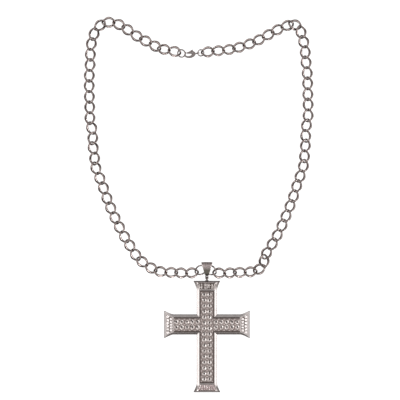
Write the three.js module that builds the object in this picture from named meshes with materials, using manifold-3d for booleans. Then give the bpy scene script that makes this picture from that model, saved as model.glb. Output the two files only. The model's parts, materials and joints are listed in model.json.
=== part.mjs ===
// A stone-set cross pendant on a curb chain, laid out flat.
//
// The cast cross hangs by a lug, a jump ring and a bail on a closed necklace of twisted oval links
// with a lobster clasp. Millimetres, +Z up: the necklace rests on z = 0 and +Y runs from the foot
// of the cross to its head and on to the clasp. The origin is on the flat back of the cross, under
// the middle of its crossing.
import * as THREE from 'three';
import { mergeVertices } from 'three/addons/utils/BufferGeometryUtils.js';
import Module from 'manifold-3d';

const wasm = await Module();
wasm.setup();

// ---- driving dimensions -------------------------------------------------------------------------

const GAP = 0.3;                    // clearance kept between two separate pieces

// the cast cross: where each arm ends, from the middle of the crossing
const ARM_HALF_WIDTH = 9.1;
const ARMS = {
  right: { turn: 0, reach: 38.6, flare: 8.2, flareHalf: 12.4 },
  top: { turn: 90, reach: 39.3, flare: 8.0, flareHalf: 12.1 },
  left: { turn: 180, reach: 38.6, flare: 8.2, flareHalf: 12.4 },
  bottom: { turn: 270, reach: 61.1, flare: 7.7, flareHalf: 12.1 },
};
const BACK_THICKNESS = 1.4;         // metal left under the settings
const SIDE_HEIGHT = 1.3;            // upright edge below the bevel
const BEVEL_WIDTH = 2.2;            // polished slope from the edge up to the setting
const BEVEL_HEIGHT = 1.7;
const RIM_WIDTH = 1.7;              // metal left outside the panel at the end of a flare
const WEB_WIDTH = 0.6;              // metal left between an arm's channel and the panel of its flare

// stone settings
const TRAY_WALL = 0.9;
const TRAY_FLOOR = 0.7;
const TRAY_HEIGHT = 2.5;
const STONE_RADIUS = 2.25;
const STONE_HEIGHT = 1.2;
const STONE_SIDES = 6;
const FOIL = 0.4;                   // foil backing that the stones of one setting share
const UPRIGHT_ROWS = 16;            // stones along the upright, in each of its two columns
const ARM_ROWS = 5;                 // stones along a side arm, in each of its two rows
const ROW_OFFSET = 2.4;             // from an arm's middle line to its two rows of stones
const FLARE_STONE_RADIUS = 1.2;

// lug, jump ring and bail
const LUG_RADIUS = 1.6;
const LUG_WIRE = 1.1;
const LUG_Y = 41.0;
const LUG_Z = 2.3;
const JUMP_RING_WIRE = 0.9;
const JUMP_RING_HALF_WIDTH = 1.45;
const JUMP_RING_LOW = [0, 40.75, LUG_Z];        // middle of the wire inside the lug
const JUMP_RING_HIGH = [0, 45.15, 3.0];         // middle of the wire inside the bail
const BAIL_SHEET = 0.8;
const BAIL_INNER_RADIUS = 3.0;
const BAIL_BOTTOM_Y = 43.4;
const BAIL_TOP_Y = 56.4;
const BAIL_TOP_HALF_WIDTH = 4.9;
const BAIL_LEG_HALF_WIDTH = 1.9;    // where the legs end and the narrow bridge begins
const BAIL_BRIDGE_HALF_WIDTH = 0.38;
const BAIL_BRIDGE_LENGTH = 1.6;

// the chain
const WIRE = 1.45;
const LINK_LENGTH = 12.6;           // outside
const LINK_WIDTH = 9.3;             // outside
const LINK_TWIST = Math.PI / 4;     // each end is turned this far, in opposite senses
const PRESS = 0.1;                  // how far the two links of one piece bite into each other
const LINK_REST_Z = 2.05;           // height of a link's middle when it lies flat
const LINK_LIFT = 1.0;              // how much higher the links inside the bail lie
const LIFTED_LINKS = 4.5;           // how many links it takes to come down to the resting height
const LINKS_LEFT = 39;
const LINKS_RIGHT = 40;
const LINK_SIDES = 6;
const LINK_STEPS = 10;

// routes of the two strands, from the middle of the bail round to the clasp
const LEFT_ROUTE = [
  [-1, 51.5], [-6.8, 49], [-14.5, 44.9], [-22.5, 47.6], [-31.5, 46.5], [-42, 47.8], [-50.5, 50],
  [-56.5, 56], [-64.5, 61.5], [-68, 70], [-73.7, 78], [-82.3, 95.2], [-89.8, 113], [-95.8, 131],
  [-101.3, 143.5], [-100.2, 152], [-103.8, 161.8], [-101.4, 170.6], [-105, 179], [-105.4, 193],
  [-106, 212.5], [-105.6, 231.8], [-104.4, 241.2], [-105.2, 250.3], [-102.5, 258.5],
  [-99, 268.2], [-90.5, 272.8], [-80.3, 271.5], [-72, 266], [-55.6, 255.2], [-48.5, 252.6],
  [-39, 246.4], [-31.5, 247.6], [-25, 244.9],
];
const RIGHT_ROUTE = [
  [-1, 51.5], [4.4, 48.6], [12, 44.7], [20.3, 47.7], [29.5, 46.3], [38.5, 47.6], [46, 48.6],
  [51.6, 51.6], [49.4, 58.2], [54.6, 63.6], [57.2, 70.8], [62.4, 78.3], [70.6, 96.2], [77.6, 114],
  [83.2, 132.3], [88.2, 144.5], [86.8, 152.5], [89.9, 163], [87.8, 172.5], [90.8, 181.5],
  [91, 204.5], [90, 233.2], [88.3, 242.6], [88.7, 251.6], [85.3, 260], [82.5, 271.5],
  [75.8, 270.6], [66, 266.8], [49.5, 257.7], [40.8, 253.5], [22, 247.9], [3, 246], [-3.9, 244.9],
];

// catch ring, clasp ring and lobster clasp
const RING_PLAY = 1.1;              // between a strand's last link and the ring it holds
const RING_ROLL = -0.18;            // turn of these rings about their strand, radians
const CATCH_RING_RADIUS = 3.4;
const CATCH_RING_WIRE = 1.2;
const CATCH_RING_FAR_Z = 0.8;       // the ring's free side lies on the table
const CLASP_RING_RADIUS = 2.8;
const CLASP_RING_WIRE = 1.0;
const CLASP_LENGTH = 10.4;          // without its tail eye
const CLASP_WIDTH = 6.4;
const CLASP_THICKNESS = 2.8;
const CLASP_BASE_Z = 2.2;
const CLASP_CHEEK = 0.7;            // metal on each side of the lever's slot
const EYE_RADIUS = 1.5;
const EYE_WIRE = 1.0;
const RIVET_RADIUS = 0.45;

// ---- solids ------------------------------------------------------------------------------------

function solidOf(geometry) {
  const bare = geometry.clone();
  bare.deleteAttribute('normal');
  bare.deleteAttribute('uv');
  const merged = mergeVertices(bare, 1e-4);
  return new wasm.Manifold(new wasm.Mesh({
    numProp: 3,
    vertProperties: new Float32Array(merged.attributes.position.array),
    triVerts: new Uint32Array(merged.index.array),
  }));
}

function geometryOf(solid) {
  const { vertProperties, triVerts } = solid.getMesh();
  const geometry = new THREE.BufferGeometry();
  geometry.setAttribute('position', new THREE.BufferAttribute(vertProperties, 3));
  geometry.setIndex(new THREE.BufferAttribute(triVerts, 1));
  geometry.computeVertexNormals();
  return geometry;
}

const joined = (geometries) => geometries.map(solidOf).reduce((whole, next) => whole.add(next));

function box(x0, x1, y0, y1, z0, z1) {
  const geometry = new THREE.BoxGeometry(x1 - x0, y1 - y0, z1 - z0);
  return geometry.translate((x0 + x1) / 2, (y0 + y1) / 2, (z0 + z1) / 2);
}

function plate(points, z0, z1) {
  const shape = new THREE.Shape(points.map(([x, y]) => new THREE.Vector2(x, y)));
  const geometry = new THREE.ExtrudeGeometry(shape, { depth: z1 - z0, bevelEnabled: false });
  return geometry.translate(0, 0, z0);
}

// A closed ring of wire lying in the XY plane, oval when its halves differ. Its two ends on X are
// turned about X in opposite senses by the twist.
function ovalRing(halfLength, halfWidth, wire, sides, steps, twist = 0) {
  const geometry = new THREE.TorusGeometry(1, wire / 2, sides, steps);
  const position = geometry.attributes.position;
  const point = new THREE.Vector3();
  for (let i = 0; i < position.count; i++) {
    point.fromBufferAttribute(position, i);
    const around = Math.atan2(point.y, point.x);
    const out = Math.hypot(point.x, point.y) - 1;
    const normal = new THREE.Vector2(halfWidth * Math.cos(around), halfLength * Math.sin(around));
    normal.normalize().multiplyScalar(out);
    const along = halfLength * Math.cos(around);
    const across = halfWidth * Math.sin(around) + normal.y;
    const turn = twist * Math.cos(around);
    position.setXYZ(i, along + normal.x,
      across * Math.cos(turn) - point.z * Math.sin(turn),
      across * Math.sin(turn) + point.z * Math.cos(turn));
  }
  return geometry;
}

// A frame whose X runs from one point to another and whose Y stays level.
function frameBetween(from, to) {
  const along = new THREE.Vector3().subVectors(to, from).normalize();
  const across = new THREE.Vector3(-along.y, along.x, 0).normalize();
  const up = new THREE.Vector3().crossVectors(along, across);
  return new THREE.Matrix4().makeBasis(along, across, up);
}

// ---- the cross ---------------------------------------------------------------------------------

// Points given along and across an arm that lies on +X, turned to where the arm really is.
function onArm(arm, points) {
  const turn = THREE.MathUtils.degToRad(arm.turn);
  return points.map(([along, across]) => [
    along * Math.cos(turn) - across * Math.sin(turn),
    along * Math.sin(turn) + across * Math.cos(turn),
  ]);
}

function crossOutline() {
  return Object.values(ARMS).flatMap((arm) => onArm(arm, [
    [arm.reach - arm.flare, -ARM_HALF_WIDTH],
    [arm.reach, -arm.flareHalf],
    [arm.reach, arm.flareHalf],
    [arm.reach - arm.flare, ARM_HALF_WIDTH],
    [ARM_HALF_WIDTH, ARM_HALF_WIDTH],
  ]));
}

const CHANNEL_HALF = ARM_HALF_WIDTH - BEVEL_WIDTH;
const BODY_TOP = SIDE_HEIGHT + BEVEL_HEIGHT;

// The panel pocket of a flare, drawn smaller all round by the inset.
function flarePocket(arm, inset) {
  const start = arm.reach - arm.flare + WEB_WIDTH / 2;
  const end = arm.reach - RIM_WIDTH;
  const slope = (arm.flareHalf - ARM_HALF_WIDTH) / arm.flare;
  const halfAt = (along) => CHANNEL_HALF - GAP + slope * (along - arm.reach + arm.flare) - inset;
  return onArm(arm, [
    [start + inset, -halfAt(start)], [end - inset, -halfAt(end)],
    [end - inset, halfAt(end)], [start + inset, halfAt(start)],
  ]);
}

function crossBody() {
  const outline = new THREE.Shape(crossOutline().map(([x, y]) => new THREE.Vector2(x, y)));
  const cast = new THREE.ExtrudeGeometry(outline, {
    depth: SIDE_HEIGHT,
    bevelThickness: BEVEL_HEIGHT,
    bevelSize: BEVEL_WIDTH,
    bevelOffset: -BEVEL_WIDTH,
    bevelSegments: 1,
  });
  const lug = ovalRing(LUG_RADIUS, LUG_RADIUS, LUG_WIRE, 8, 16);
  lug.rotateY(Math.PI / 2).translate(0, LUG_Y, LUG_Z);
  let body = solidOf(cast).intersect(solidOf(box(-90, 90, -90, 90, 0, 90)));
  for (const arm of Object.values(ARMS)) {
    const end = arm.reach - arm.flare - WEB_WIDTH / 2;
    const channel = onArm(arm, [
      [-CHANNEL_HALF, -CHANNEL_HALF], [end, -CHANNEL_HALF],
      [end, CHANNEL_HALF], [-CHANNEL_HALF, CHANNEL_HALF],
    ]);
    body = body.subtract(solidOf(plate(channel, BACK_THICKNESS, BODY_TOP + 1)));
    body = body.subtract(solidOf(plate(flarePocket(arm, 0), BACK_THICKNESS, BODY_TOP + 1)));
  }
  return geometryOf(body.add(solidOf(lug)));
}

const TRAY_HALF = CHANNEL_HALF - GAP;
const TRAY_INNER = TRAY_HALF - TRAY_WALL;
const TRAY_Z = BACK_THICKNESS + GAP;
const FOIL_Z = TRAY_Z + TRAY_FLOOR + GAP;

// An open tray lying along X from start to end, across the arm's whole channel.
function tray(start, end, endWall) {
  const whole = solidOf(box(start, end, -TRAY_HALF, TRAY_HALF, TRAY_Z, TRAY_Z + TRAY_HEIGHT));
  const hollow = box(start + endWall, end - endWall, -TRAY_INNER, TRAY_INNER, TRAY_Z + TRAY_FLOOR, 90);
  return whole.subtract(solidOf(hollow));
}

// The upright's tray has end walls, and gaps in its side walls where the side arms meet it.
function uprightTray(start, end) {
  let whole = tray(start, end, TRAY_WALL);
  for (const side of [-1, 1]) {
    const middle = side * CHANNEL_HALF;
    const reach = CHANNEL_HALF - TRAY_INNER + GAP;
    const notch = box(-CHANNEL_HALF, CHANNEL_HALF, middle - reach, middle + reach, 0, 90);
    whole = whole.subtract(solidOf(notch));
  }
  return whole;
}

function stone(x, y, radius) {
  const cut = new THREE.CylinderGeometry(radius * 0.55, radius, STONE_HEIGHT, STONE_SIDES);
  return cut.rotateX(Math.PI / 2).translate(x, y, FOIL_Z + FOIL + STONE_HEIGHT / 2 - 0.05);
}

// Two rows of stones on one foil, along X from first to last.
function stoneRows(first, last, half, count) {
  const pitch = (last - first) / count;
  const pieces = [box(first, last, -half, half, FOIL_Z, FOIL_Z + FOIL)];
  for (let i = 0; i < count; i++) {
    const x = first + (i + 0.5) * pitch;
    pieces.push(stone(x, ROW_OFFSET, STONE_RADIUS), stone(x, -ROW_OFFSET, STONE_RADIUS));
  }
  return joined(pieces);
}

const turned = (solid, degrees) => geometryOf(solid.rotate([0, 0, degrees]));

// where a setting ends at its flare
const settingEnd = (arm) => arm.reach - arm.flare - WEB_WIDTH / 2 - GAP;

// A flare's panel: a bed with its stones standing on it, in rows across the arm.
function flarePanel(arm, rows) {
  const bed = TRAY_Z + TRAY_FLOOR;
  const stoneTop = FOIL_Z + FOIL + STONE_HEIGHT * 0.6;
  const stones = [];
  for (const { back, count, pitch, length, width } of rows) {
    for (let i = 0; i < count; i++) {
      const along = arm.reach - back;
      const across = (i - (count - 1) / 2) * pitch;
      const corners = onArm(arm, [
        [along - length / 2, across - width / 2], [along + length / 2, across - width / 2],
        [along + length / 2, across + width / 2], [along - length / 2, across + width / 2],
      ]);
      stones.push(plate(corners, bed, stoneTop));
    }
  }
  const room = solidOf(plate(flarePocket(arm, 1.5 * GAP), 0, stoneTop));
  const base = solidOf(plate(flarePocket(arm, GAP), TRAY_Z, FOIL_Z + FOIL));
  return geometryOf(base.add(joined(stones).intersect(room)));
}

const SMALL = 2 * FLARE_STONE_RADIUS;
const SIDE_FLARE_ROWS = [
  { back: 6.4, count: 5, pitch: 2.6, length: SMALL, width: SMALL - 0.1 },
  { back: 3.4, count: 6, pitch: 2.8, length: SMALL, width: SMALL },
];
const TOP_FLARE_ROWS = [{ back: 4.9, count: 3, pitch: 6.7, length: 4.6, width: 5.9 }];
const BOTTOM_FLARE_ROWS = [{ back: 4.6, count: 5, pitch: 2.7, length: 4.4, width: 2.0 }];

// ---- bail and jump ring ------------------------------------------------------------------------

const BAIL_OUTER_RADIUS = BAIL_INNER_RADIUS + BAIL_SHEET;

// a flat-sided loop seen from its side, drawn with its length on X
function loopOutline(radius, bottom, top) {
  const path = new THREE.Path();
  path.absarc(top - radius, 0, radius, -Math.PI / 2, Math.PI / 2);
  path.absarc(bottom + radius, 0, radius, Math.PI / 2, Math.PI * 1.5);
  path.closePath();
  return path;
}

function bail() {
  const side = new THREE.Shape();
  side.curves = loopOutline(BAIL_OUTER_RADIUS, BAIL_BOTTOM_Y, BAIL_TOP_Y).curves;
  const inner = loopOutline(BAIL_INNER_RADIUS, BAIL_BOTTOM_Y + BAIL_SHEET, BAIL_TOP_Y - BAIL_SHEET);
  side.holes.push(inner);
  const depth = 2 * BAIL_TOP_HALF_WIDTH;
  const loop = new THREE.ExtrudeGeometry(side, { depth, bevelEnabled: false, curveSegments: 8 });
  loop.translate(0, 0, -depth / 2);
  const toYZ = new THREE.Matrix4().makeBasis(
    new THREE.Vector3(0, 1, 0), new THREE.Vector3(0, 0, 1), new THREE.Vector3(1, 0, 0));
  loop.applyMatrix4(toYZ).translate(0, 0, BAIL_OUTER_RADIUS);
  const neck = BAIL_BOTTOM_Y + BAIL_BRIDGE_LENGTH;
  const front = plate([
    [-BAIL_BRIDGE_HALF_WIDTH, BAIL_BOTTOM_Y - 1], [BAIL_BRIDGE_HALF_WIDTH, BAIL_BOTTOM_Y - 1],
    [BAIL_BRIDGE_HALF_WIDTH, neck], [BAIL_LEG_HALF_WIDTH, neck],
    [BAIL_TOP_HALF_WIDTH, BAIL_TOP_Y + 0.1], [-BAIL_TOP_HALF_WIDTH, BAIL_TOP_Y + 0.1],
    [-BAIL_LEG_HALF_WIDTH, neck], [-BAIL_BRIDGE_HALF_WIDTH, neck],
  ], -1, 2 * BAIL_OUTER_RADIUS + 1);
  return geometryOf(solidOf(loop).intersect(solidOf(front)));
}

function jumpRing() {
  const low = new THREE.Vector3(...JUMP_RING_LOW);
  const high = new THREE.Vector3(...JUMP_RING_HIGH);
  const halfLength = low.distanceTo(high) / 2;
  const ring = ovalRing(halfLength, JUMP_RING_HALF_WIDTH, JUMP_RING_WIRE, 8, 16);
  const middle = new THREE.Vector3().addVectors(low, high).multiplyScalar(0.5);
  return ring.applyMatrix4(frameBetween(low, high).setPosition(middle));
}

// ---- chain -------------------------------------------------------------------------------------

const LINK_HALF = (LINK_LENGTH - WIRE) / 2;
const LINK_HALF_WIDTH = (LINK_WIDTH - WIRE) / 2;
const HOLD = WIRE - PRESS;           // how far two links of one piece reach past each other

// The links inside the bail lie higher, and the next few come down to the table.
function heightAt(knot) {
  const share = Math.min(Math.max((knot - 1) / (LIFTED_LINKS - 1), 0), 1);
  return LINK_REST_Z + LINK_LIFT * (1 + Math.cos(Math.PI * share)) / 2;
}

// The places where one link holds the next, spread evenly along a route.
function knots(route, count) {
  const curve = new THREE.CatmullRomCurve3(route.map(([x, y]) => new THREE.Vector3(x, y, 0)));
  curve.arcLengthDivisions = 100 * route.length;
  return curve.getSpacedPoints(count).map((place, i) => place.setZ(heightAt(i)));
}

// One link that starts a short reach before one knot and runs on past another.
function link(from, to, reach) {
  const shape = ovalRing(LINK_HALF, LINK_HALF_WIDTH, WIRE, LINK_SIDES, LINK_STEPS, LINK_TWIST);
  const matrix = frameBetween(from, to);
  const along = new THREE.Vector3().setFromMatrixColumn(matrix, 0);
  const middle = from.clone().addScaledVector(along, LINK_HALF - reach);
  return shape.applyMatrix4(matrix.setPosition(middle));
}

const leftKnots = knots(LEFT_ROUTE, LINKS_LEFT);
const rightKnots = knots(RIGHT_ROUTE, LINKS_RIGHT);

// Two links that are held fast to each other at a knot.
const linkPair = (before, knot, after) => geometryOf(joined([
  link(knot, before, HOLD / 2), link(knot, after, HOLD / 2)]));

// A link on its own, with the same play at both ends.
const singleLink = (from, to) => geometryOf(joined([
  link(from, to, LINK_HALF - from.distanceTo(to) / 2)]));

// The links of one strand after the one inside the bail, two to a piece.
function strandPieces(places) {
  const pieces = [];
  for (let i = 1; i < places.length - 1; i += 2) {
    const paired = i + 2 < places.length;
    pieces.push(paired ? linkPair(...places.slice(i, i + 3)) : singleLink(places[i], places[i + 1]));
  }
  return pieces;
}

// ---- clasp -------------------------------------------------------------------------------------

// A ring held by the last link of a strand, tilted until its free side reaches a height.
function endRing(places, radius, wire, farZ) {
  const knot = places.at(-1);
  const heading = new THREE.Vector3().subVectors(knot, places.at(-2)).setZ(0).normalize();
  const overlap = (WIRE + wire) / 2 + RING_PLAY;
  const near = knot.clone().addScaledVector(heading, -overlap / 2);
  const far = near.clone().addScaledVector(heading, 2 * radius).setZ(farZ);
  const matrix = frameBetween(near, far);
  const along = new THREE.Vector3().setFromMatrixColumn(matrix, 0);
  const centre = near.clone().addScaledVector(along, radius);
  const ring = ovalRing(radius, radius, wire, LINK_SIDES, 14).rotateX(RING_ROLL);
  return { geometry: ring.applyMatrix4(matrix.setPosition(centre)), centre, heading, far };
}

const catchRing = endRing(leftKnots, CATCH_RING_RADIUS, CATCH_RING_WIRE, CATCH_RING_FAR_Z);
const EYE_Z = CLASP_BASE_Z + CLASP_THICKNESS / 2;
const claspRing = endRing(rightKnots, CLASP_RING_RADIUS, CLASP_RING_WIRE, EYE_Z);

// The clasp is drawn with its tail eye at the origin and its claw on +X, lying in the XY plane, and
// is then turned over, so that its lever faces outwards.
const CLASP_MID_Z = CLASP_THICKNESS / 2;
const BODY_START = EYE_RADIUS + EYE_WIRE / 2 - 0.3;
const RIVET_X = BODY_START + 3.2;
const RIVET_Y = 1.1;
const MOUTH_START = RIVET_X - 1.7;
const MOUTH_END = BODY_START + CLASP_LENGTH - 2.2;

function ellipsePlate(cx, halfLength, halfWidth, z0, z1) {
  const shape = new THREE.Shape().absellipse(cx, 0, halfLength, halfWidth, 0, Math.PI * 2);
  const depth = z1 - z0;
  const geometry = new THREE.ExtrudeGeometry(shape, { depth, bevelEnabled: false, curveSegments: 16 });
  return geometry.translate(0, 0, z0);
}

function claspBody() {
  const centre = BODY_START + CLASP_LENGTH / 2;
  const outer = solidOf(ellipsePlate(centre, CLASP_LENGTH / 2, CLASP_WIDTH / 2, 0, CLASP_THICKNESS));
  const holeHalf = CLASP_LENGTH / 2 - 2.5;
  const hole = ellipsePlate(centre + 1.1, holeHalf, CLASP_WIDTH / 2 - 1.6, -1, CLASP_THICKNESS + 1);
  const mouth = box(RIVET_X + 1.2, MOUTH_END, 0.2, CLASP_WIDTH, -1, CLASP_THICKNESS + 1);
  const slotTop = CLASP_THICKNESS - CLASP_CHEEK;
  const slot = box(MOUTH_START, RIVET_X + 2, -0.4, CLASP_WIDTH, CLASP_CHEEK, slotTop);
  const rivetHole = new THREE.CylinderGeometry(RIVET_RADIUS + 0.15, RIVET_RADIUS + 0.15, 9, 8);
  rivetHole.rotateX(Math.PI / 2).translate(RIVET_X, RIVET_Y, 0);
  const eye = ovalRing(EYE_RADIUS, EYE_RADIUS, EYE_WIRE, 8, 14);
  eye.rotateX(Math.PI / 2).translate(0, 0, CLASP_MID_Z);
  return outer.subtract(solidOf(hole)).subtract(solidOf(mouth)).subtract(solidOf(slot))
    .subtract(solidOf(rivetHole)).add(solidOf(eye));
}

// The gate that shuts the mouth, with the thumb tab behind its pivot.
function claspLever() {
  const low = CLASP_CHEEK + 0.2;
  const high = CLASP_THICKNESS - CLASP_CHEEK - 0.2;
  const outline = [
    [RIVET_X - 1.1, 0.5], [RIVET_X + 0.9, 0.3], [MOUTH_END - 0.35, 1.0], [MOUTH_END - 0.35, 2.1],
    [RIVET_X + 1.6, 2.7], [RIVET_X + 0.3, 3.4], [RIVET_X - 0.9, 4.0], [RIVET_X - 1.3, 3.3],
    [RIVET_X - 0.7, 2.4],
  ];
  const pivotHole = new THREE.CylinderGeometry(RIVET_RADIUS + 0.15, RIVET_RADIUS + 0.15, 9, 8);
  pivotHole.rotateX(Math.PI / 2).translate(RIVET_X, RIVET_Y, 0);
  return solidOf(plate(outline, low, high)).subtract(solidOf(pivotHole));
}

function claspRivet() {
  const pin = new THREE.CylinderGeometry(RIVET_RADIUS, RIVET_RADIUS, CLASP_THICKNESS + 0.2, 8);
  return solidOf(pin.rotateX(Math.PI / 2).translate(RIVET_X, RIVET_Y, CLASP_MID_Z));
}

// A hairpin spring in the slot, between the floor of the slot and the underside of the lever.
function claspSpring() {
  const path = new THREE.CatmullRomCurve3([
    new THREE.Vector3(RIVET_X - 1.4, 0.05, CLASP_MID_Z),
    new THREE.Vector3(RIVET_X - 0.3, -0.12, CLASP_MID_Z),
    new THREE.Vector3(RIVET_X + 0.9, -0.1, CLASP_MID_Z),
  ]);
  const section = new THREE.Shape().absellipse(0, 0, 0.15, 0.15, 0, Math.PI * 2);
  return solidOf(new THREE.ExtrudeGeometry(section, {
    steps: 4, extrudePath: path, bevelEnabled: false, curveSegments: 3 }));
}

// ---- the assembly ------------------------------------------------------------------------------

const METAL = { color: 0x9d9290, roughness: 0.28, metalness: 1 };
const DARK_METAL = { color: 0x6d6664, roughness: 0.35, metalness: 1 };
const STONE = { color: 0xe9e4e6, roughness: 0.05, metalness: 0.1 };

const necklace = new THREE.Group();

function addTo(group, name, geometry, finish) {
  const mesh = new THREE.Mesh(geometry, new THREE.MeshStandardMaterial(finish));
  mesh.name = name;
  group.add(mesh);
}

function addCross() {
  const { left, right, top, bottom } = ARMS;
  const foot = -settingEnd(bottom);
  const foilHalf = TRAY_INNER - GAP - GAP;
  addTo(necklace, 'cross_body', crossBody(), METAL);
  addTo(necklace, 'setting_upright', turned(uprightTray(foot, settingEnd(top)), 90), DARK_METAL);
  const uprightStones = stoneRows(
    foot + TRAY_WALL + GAP, settingEnd(top) - TRAY_WALL - GAP, foilHalf, UPRIGHT_ROWS);
  addTo(necklace, 'stones_upright', turned(uprightStones, 90), STONE);
  for (const [side, arm] of Object.entries({ left, right })) {
    const setting = tray(TRAY_INNER, settingEnd(arm), 0);
    const stones = stoneRows(TRAY_INNER + GAP / 2, settingEnd(arm), TRAY_INNER - GAP, ARM_ROWS);
    addTo(necklace, `setting_${side}`, turned(setting, arm.turn), DARK_METAL);
    addTo(necklace, `stones_${side}`, turned(stones, arm.turn), STONE);
  }
  addTo(necklace, 'flare_panel_top', flarePanel(top, TOP_FLARE_ROWS), METAL);
  addTo(necklace, 'flare_panel_bottom', flarePanel(bottom, BOTTOM_FLARE_ROWS), METAL);
  addTo(necklace, 'flare_panel_left', flarePanel(left, SIDE_FLARE_ROWS), STONE);
  addTo(necklace, 'flare_panel_right', flarePanel(right, SIDE_FLARE_ROWS), STONE);
}

function addChain() {
  const inBail = linkPair(leftKnots[1], leftKnots[0], rightKnots[1]);
  addTo(necklace, 'chain_middle', inBail, METAL);
  for (const [side, places] of Object.entries({ left: leftKnots, right: rightKnots })) {
    strandPieces(places).forEach((piece, i) => {
      addTo(necklace, `chain_${side}_${String(i + 1).padStart(2, '0')}`, piece, METAL);
    });
  }
}

function addClasp() {
  addTo(necklace, 'catch_ring', catchRing.geometry, METAL);
  addTo(necklace, 'clasp_ring', claspRing.geometry, METAL);
  const clasp = new THREE.Group();
  const { far, heading } = claspRing;
  const reach = (CLASP_RING_WIRE + EYE_WIRE) / 2 + GAP;
  clasp.position.set(far.x, far.y, CLASP_BASE_Z + CLASP_THICKNESS);
  clasp.position.addScaledVector(heading, EYE_RADIUS - reach);
  clasp.rotation.set(Math.PI, 0, -Math.atan2(heading.y, heading.x));
  necklace.add(clasp);
  addTo(clasp, 'clasp_body', geometryOf(claspBody()), METAL);
  addTo(clasp, 'clasp_lever', geometryOf(claspLever()), METAL);
  addTo(clasp, 'clasp_spring', geometryOf(claspSpring()), DARK_METAL);
  addTo(clasp, 'clasp_rivet', geometryOf(claspRivet()), DARK_METAL);
}

addCross();
addTo(necklace, 'jump_ring', jumpRing(), METAL);
addTo(necklace, 'bail', bail(), METAL);
addChain();
addClasp();

export default necklace;
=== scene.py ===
"""Looks for the cross pendant necklace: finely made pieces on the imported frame, floor, light, camera.

Lengths below are millimetres unless a name ends in _m; meshes are turned into metres when made.
"""
import json
import math
import random

import bpy
import bmesh
import numpy as np
from mathutils import Matrix, Vector
from mathutils.geometry import tessellate_polygon

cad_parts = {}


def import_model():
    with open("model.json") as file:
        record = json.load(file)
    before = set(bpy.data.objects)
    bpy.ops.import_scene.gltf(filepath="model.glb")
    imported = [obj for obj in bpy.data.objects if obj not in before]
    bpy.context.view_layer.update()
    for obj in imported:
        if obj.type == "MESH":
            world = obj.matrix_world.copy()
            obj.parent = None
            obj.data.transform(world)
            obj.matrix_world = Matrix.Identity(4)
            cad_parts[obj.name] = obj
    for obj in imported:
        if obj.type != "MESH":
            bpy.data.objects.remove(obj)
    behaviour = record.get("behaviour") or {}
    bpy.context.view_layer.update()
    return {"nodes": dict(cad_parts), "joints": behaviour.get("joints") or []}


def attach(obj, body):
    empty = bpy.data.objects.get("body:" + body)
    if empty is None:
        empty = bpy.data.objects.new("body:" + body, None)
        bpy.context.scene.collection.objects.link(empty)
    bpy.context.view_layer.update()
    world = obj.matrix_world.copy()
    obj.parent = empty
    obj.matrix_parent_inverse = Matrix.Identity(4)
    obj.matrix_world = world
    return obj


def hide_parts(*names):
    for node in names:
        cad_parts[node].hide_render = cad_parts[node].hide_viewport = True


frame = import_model()
scene = bpy.context.scene
chance = random.Random(7)

MM = 0.001
JOINT_AT = {j["name"]: Vector(j["pos_m"]) / MM for j in frame["joints"]}

# ---- sizes --------------------------------------------------------------------------------------

# cross
ARM_HALF = 9.1
ARMS = {
    "right": {"turn": 0, "reach": 38.6, "flare": 8.2, "flare_half": 12.4, "tip_z": 2.65, "rim": 1.8,
              "tip_ledge": 0.3, "side_ledge": 0.1},
    "top": {"turn": 90, "reach": 39.3, "flare": 8.0, "flare_half": 12.1, "tip_z": 1.3, "rim": 1.0,
            "tip_ledge": 0.55, "side_ledge": 0.1},
    "left": {"turn": 180, "reach": 38.6, "flare": 8.2, "flare_half": 12.4, "tip_z": 2.65, "rim": 1.8,
             "tip_ledge": 0.3, "side_ledge": 0.1},
    "bottom": {"turn": 270, "reach": 61.1, "flare": 7.7, "flare_half": 12.1, "tip_z": 1.3, "rim": 1.1,
               "tip_ledge": 0.75, "side_ledge": 0.6},
}
SIDE_Z = 1.3          # top of the upright edge
BODY_Z = 3.0          # top of the bevel
BACK_Z = 1.4          # floor of the channels
LEDGE = 0.3           # flat step along the outer edge, outside the bevel
BEVEL = 2.1
CHANNEL_HALF = 6.9
WEB = 0.6
GAP = 0.3
TRAY_HALF = 6.6
TRAY_INNER = 5.7
TRAY_LOW_Z = 1.7
BED_Z = 3.1           # top of the plate that the stones are sunk in
RAIL_Z = 4.15
POCKET_SLOPE = 0.6    # how far in the sloped wall of a flare's pocket reaches
POCKET_EDGE_Z = 2.45  # lower edge of that wall
PANEL_Z = 2.6         # top of the bed of a flare's stones
STONE_R = 2.05
STONE_LOW_Z = 3.15
STONE_HIGH_Z = 4.22
ROW_OFFSET = 2.4
UPRIGHT_ROWS = 16
ARM_ROWS = 5
LUG_AT = (0, 41.0, 2.3)
LUG_RADIUS = 1.6      # middle of the lug's wire
LUG_WIRE = 1.1
SADDLE = [(-1.5, 39.0), (1.5, 39.0), (1.5, 39.95), (-1.5, 39.95)]
SADDLE_LOW_Z = 0.9
SADDLE_HIGH_Z = 2.6
PANEL_STONE_HIGH_Z = 3.6
BAR_LOW_Z = 2.9
BAR_Z = 3.4           # top of a bar, which its pyramids stand on
BAR_TIP_Z = 3.8

# bail
BAIL_SHEET = 0.8
BAIL_INNER = 3.0      # radius of the turns at its ends, inside the sheet
BAIL_LOW = 43.4
BAIL_HIGH = 56.4
BAIL_FOOT_HALF = 0.36
BAIL_FOOT_END = 44.1  # the narrow foot ends here and the taper takes over
BAIL_SECTION = [(-1, -0.3), (-0.96, -0.9), (-0.8, -1), (0, -1), (0.8, -1), (0.96, -0.9), (1, -0.3),
                (1, 0.1), (0.95, 0.5), (0.8, 0.7), (0.4, 0.93), (0, 1), (-0.4, 0.93), (-0.8, 0.7),
                (-0.95, 0.5), (-1, 0.1)]

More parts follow.
